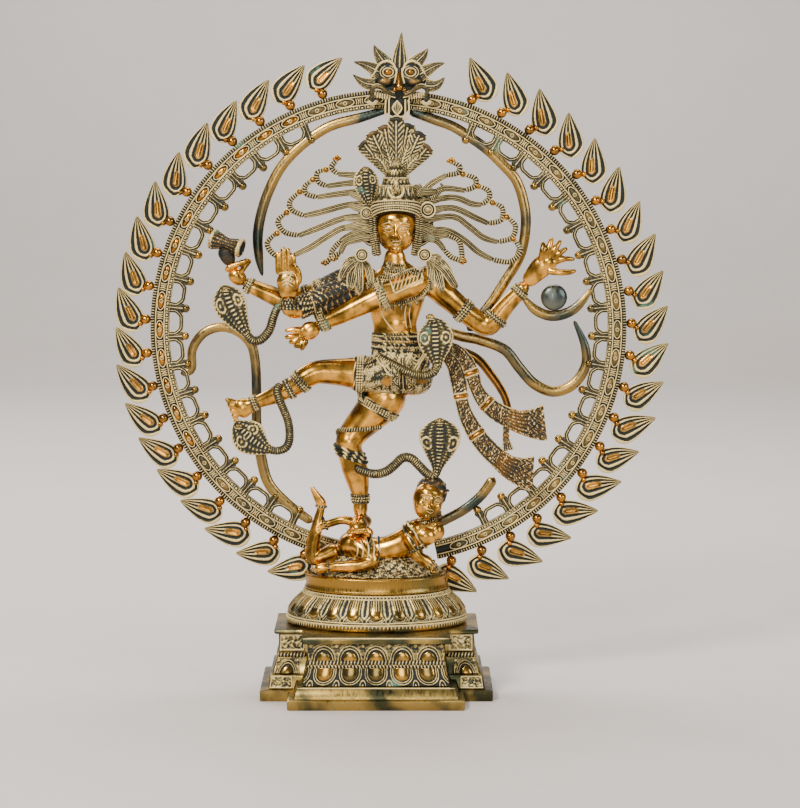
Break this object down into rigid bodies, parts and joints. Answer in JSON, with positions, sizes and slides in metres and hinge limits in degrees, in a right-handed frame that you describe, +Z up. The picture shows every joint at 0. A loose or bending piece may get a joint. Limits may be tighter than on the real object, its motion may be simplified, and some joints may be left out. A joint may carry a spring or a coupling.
{
  "type": "dancing figure in a flame ring",
  "caption": "Four-armed dancer on one leg inside a ring of flames, standing on a dwarf over a lotus and a stepped plinth, in chased brass.",
  "frame": {"origin": "middle of the plinth's foot, on the surface it stands on", "axes": "+Z up through the plinth, -Y towards the viewer, +X to the viewer's right"},
  "size_m": [0.5144, 0.18, 0.6061],
  "materials": {
    "polished_brass": "polished orange brass with dark patina left in the hollows",
    "chased_brass": "chased relief with pale gold on the raised lines and black-green patina in the cuts",
    "beaded_brass": "coppery polished beads and studs",
    "aged_brass": "brushed brass aged from gold to blue grey",
    "dark_brass": "dark bronze brown with pale chased lines",
    "steel": "plain zinc-plated steel"
  },
  "bodies": {
    "root": {"plinth": "chased_brass", "lotus": "chased_brass", "drum": "aged_brass", "ground": "chased_brass", "studs": "steel", "nuts": "steel", "dwarf_body": "polished_brass", "dwarf_head": "polished_brass", "dwarf_hair": "dark_brass", "dwarf_arm_near": "polished_brass", "dwarf_arm_far": "polished_brass", "dwarf_leg_folded": "polished_brass", "dwarf_leg_raised": "polished_brass", "torso": "polished_brass", "head": "polished_brass", "crown": "chased_brass", "plume": "chased_brass", "hair_left": "chased_brass", "hair_right": "chased_brass", "earrings": "chased_brass", "arm_drum": "polished_brass", "arm_blessing": "polished_brass", "arm_crossing": "polished_brass", "arm_fire": "polished_brass", "hand_drum": "polished_brass", "hand_blessing": "polished_brass", "hand_crossing": "polished_brass", "hand_fire": "polished_brass", "hand_drum_toy": "dark_brass", "fire_disc": "aged_brass", "leg_standing": "polished_brass", "leg_raised": "polished_brass", "skirt": "chased_brass", "belt": "chased_brass", "necklace": "chased_brass", "drape_left": "chased_brass", "drape_right": "chased_brass", "armlets": "chased_brass", "anklets": "chased_brass", "cobra_arm": "chased_brass", "cobra_foot": "chased_brass", "cobra_waist": "chased_brass", "cobra_dwarf": "chased_brass", "cobra_crown": "chased_brass", "sash_upper": "dark_brass", "sash_lower": "dark_brass", "sash_tie": "dark_brass", "ring_band": "beaded_brass", "arcade": "chased_brass", "flames_left": "chased_brass", "flames_right": "chased_brass", "flame_beads": "beaded_brass", "cabochons": "beaded_brass", "mask": "chased_brass", "strut_upper_left": "aged_brass", "strut_upper_right": "aged_brass", "strut_wave": "aged_brass", "strut_cradle": "aged_brass", "strut_lower_left": "aged_brass", "strut_lower_right": "aged_brass"}
  },
  "joints": []
}
